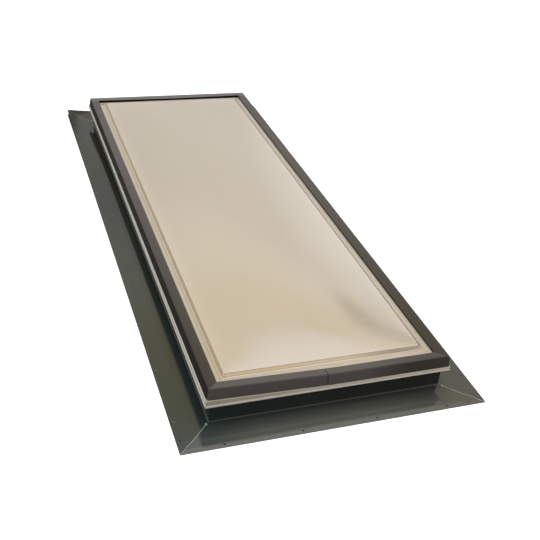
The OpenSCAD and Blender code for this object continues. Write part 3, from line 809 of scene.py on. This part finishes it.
# Painted light lightens the cap's front face, most to the left of the middle.
front_leg_painted_light = both(tree, between(tree, facing["Y"], -0.7, -0.5, 1, 0),
                 between(tree, spot["X"], 0.08, 0.22, 0.8, 0))
tone = blend_of(tree, front_leg_painted_light, tone, rgb(0.11, 0.095, 0.088))
# Painted shade darkens the cap's left face.
tone = blend_of(tree, between(tree, facing["X"], -0.7, -0.5, 0.9, 0), tone, rgb(0.008, 0.005, 0.003))
dress(tree, shader, tone, between(tree, mottle, 0.3, 0.7, 0.32, 0.44), grain(tree, place, 800, 2), 0.04)
# The splice plate's metal is painted dark, as painted shade under the seam.
mill, tree, shader, place = finish_of("mill_aluminium", 0.4, Metallic=1.0)
tone = blend_of(tree, grain(tree, place, 300, 3, (0.05, 1, 1)), rgb(0.06, 0.055, 0.05), rgb(0.1, 0.09, 0.08))
dress(tree, shader, tone, between(tree, grain(tree, place, 200), 0.3, 0.7, 0.3, 0.5))
for name in ("front", "back"):
    coat("cap_splice_" + name, mill)

cap_foot, cap_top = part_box("cap_right")[0].z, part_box("cap_right")[1].z
cap_sheet, cap_fall, cap_bend, cap_corner = 1.6 * mm, 4 * mm, 2.4 * mm, 3.5 * mm
cap_gap, cap_hem, seam_shift, mitre_half = 0.9 * mm, 8 * mm, 17 * mm, 0.4 * mm
back_rise, back_tilt = 1.5 * mm, 3 * mm
foot_round, foot_cut, mitre_sunk = 14 * mm, 6 * mm, 0.7 * mm
TOP_STEPS = (0.97, 0.7, 0.4)


def cap_section():
    """Points of (inset from the cap's foot, height, on the top leg), closed."""
    def leg(z):
        return cap_splay * (z - cap_foot) / (cap_top - cap_foot)

    points = [(cap_splay + cap_wide * k, cap_top - cap_fall * k, True) for k in TOP_STEPS]
    for k in range(7):
        a = math.radians(90 + 15 * k)
        points.append((cap_splay + cap_bend + cap_bend * math.cos(a),
                       cap_top - cap_bend + cap_bend * math.sin(a), k == 0))
    points += [(leg(z), z, False) for z in (cap_top - 12 * mm, cap_foot + 10 * mm, cap_foot + 0.6 * mm)]
    points += [(0.3 * mm, cap_foot + 0.2 * mm, False), (0.7 * mm, cap_foot, False)]
    hem_end = cap_sheet + cap_hem
    points += [(hem_end - 0.5 * mm, cap_foot, False), (hem_end, cap_foot + 0.8 * mm, False),
               (hem_end - 0.5 * mm, cap_foot + cap_sheet, False)]
    points += [(leg(z) + cap_sheet, z, False)
               for z in (cap_foot + cap_sheet, cap_top - 12 * mm, cap_top - cap_bend)]
    points += [(cap_splay + cap_bend, cap_top - cap_sheet, False)]
    points += [(cap_splay + cap_wide * k, cap_top - cap_sheet - cap_fall * k, False)
               for k in reversed(TOP_STEPS)]
    return points + [(cap_splay + cap_wide, cap_top - cap_sheet * 0.8 - cap_fall, False),
                     (cap_splay + cap_wide, cap_top - cap_sheet * 0.2 - cap_fall, True)]


def cap_path(inset, seam):
    """Stations of the right half at one inset, from the front seam round to the back seam."""
    hx, hy = cap_x - inset, cap_y - inset
    r = max(cap_corner - inset, 0)
    end_x, end_y = hx - r - mitre_half, hy - r - mitre_half

    def turn(middle_y, quarter):
        for k in range(9):
            a = math.radians(90 * (quarter - 1 + k / 8))
            slip = mitre_half * (k - 4) / 4
            dx, dy = ((min(slip, 0), max(slip, 0)), (-max(slip, 0), min(slip, 0)))[quarter]
            yield (hx - r + r * math.cos(a) + dx, middle_y + r * math.sin(a) + dy, k == 4)

    close = (10, 7, 5, 3, 1.5, 0)
    stations = [(seam + (end_x - seam) * (k / 14) ** 0.8, -hy, False) for k in range(14)]
    stations += [(end_x - short * mm, -hy, False) for short in close]
    stations += turn(r - hy, 0)
    stations += [(hx, past * mm - end_y, False) for past in reversed(close)]
    stations += [(hx, end_y * (2 * k / 60 - 1), False) for k in range(1, 61)]
    stations += turn(hy - r, 1)
    return stations + [(end_x - (end_x - cap_gap) * k / 14, hy, False) for k in range(15)]


section_points = cap_section()
for name, sx in (("right", 1), ("left", -1)):
    columns = [cap_path(inset, cap_gap - sx * seam_shift) for inset, _, _ in section_points]
    points = []
    for i in range(len(columns[0])):
        for (inset, z, top_leg), column in zip(section_points, columns):
            x, y, mitre = column[i]
            z -= mitre_sunk if mitre and top_leg else 0
            if y > cap_y - back_band and inset > cap_splay + cap_sheet:
                z += (back_rise + back_tilt * x / cap_x) * (inset - cap_splay) / cap_wide
            if sx < 0 and z < cap_foot + cap_sheet + 0.1 * mm:
                near = 1 - (cap_x - x + cap_y + y) / foot_round
                z += foot_cut * max(near, 0) ** 1.7
            points.append((sx * x, y, z + sprung(sx * x, y)))
    faces = skin(len(columns[0]), len(section_points))
    half = piece("cap_half_" + name, points, faces, [brown], 32)
    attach(half, "root")
    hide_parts("cap_" + name)
